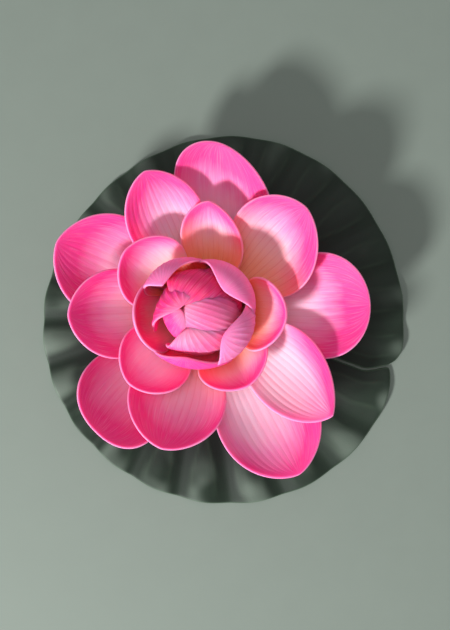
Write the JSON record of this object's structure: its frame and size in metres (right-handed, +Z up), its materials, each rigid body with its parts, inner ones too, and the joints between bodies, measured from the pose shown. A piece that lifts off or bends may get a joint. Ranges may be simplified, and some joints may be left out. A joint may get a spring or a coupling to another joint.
{
  "type": "artificial lotus flower on a leaf pad",
  "caption": "Open pink lotus of layered foam petals round a closed bud, on a round notched leaf pad, made to float on a pond or stand on a table.",
  "frame": {"origin": "centre of the cap's flat bottom, on the flower's axis, in the plane of the surface that the flower stands on", "axes": "+Z up along the flower's axis; +X and +Y lie in the plane of the leaf pad, whose notch opens 20 degrees clockwise from +X"},
  "size_m": [0.1783, 0.1817, 0.0477],
  "materials": {
    "cap": "satin dark green moulded plastic",
    "leaf": "pressed dark green foam sheet with a soft sheen",
    "outer_petals": "matt foam sheet, hot pink margins fading to a pale middle",
    "middle_petals": "matt foam sheet, pink fading to a salmon base",
    "inner_petals": "matt foam sheet, rose pink with a warm base",
    "bud_petals": "matt foam sheet, bright pink",
    "post": "plain moulded plastic"
  },
  "bodies": {
    "root": {"base_cap": "cap", "leaf_pad": "leaf", "whorl_1_outer": "outer_petals", "whorl_2_outer": "outer_petals", "whorl_3_middle": "middle_petals", "whorl_4_cup": "inner_petals", "whorl_5_bud": "bud_petals", "centre_post": "post"}
  },
  "joints": []
}
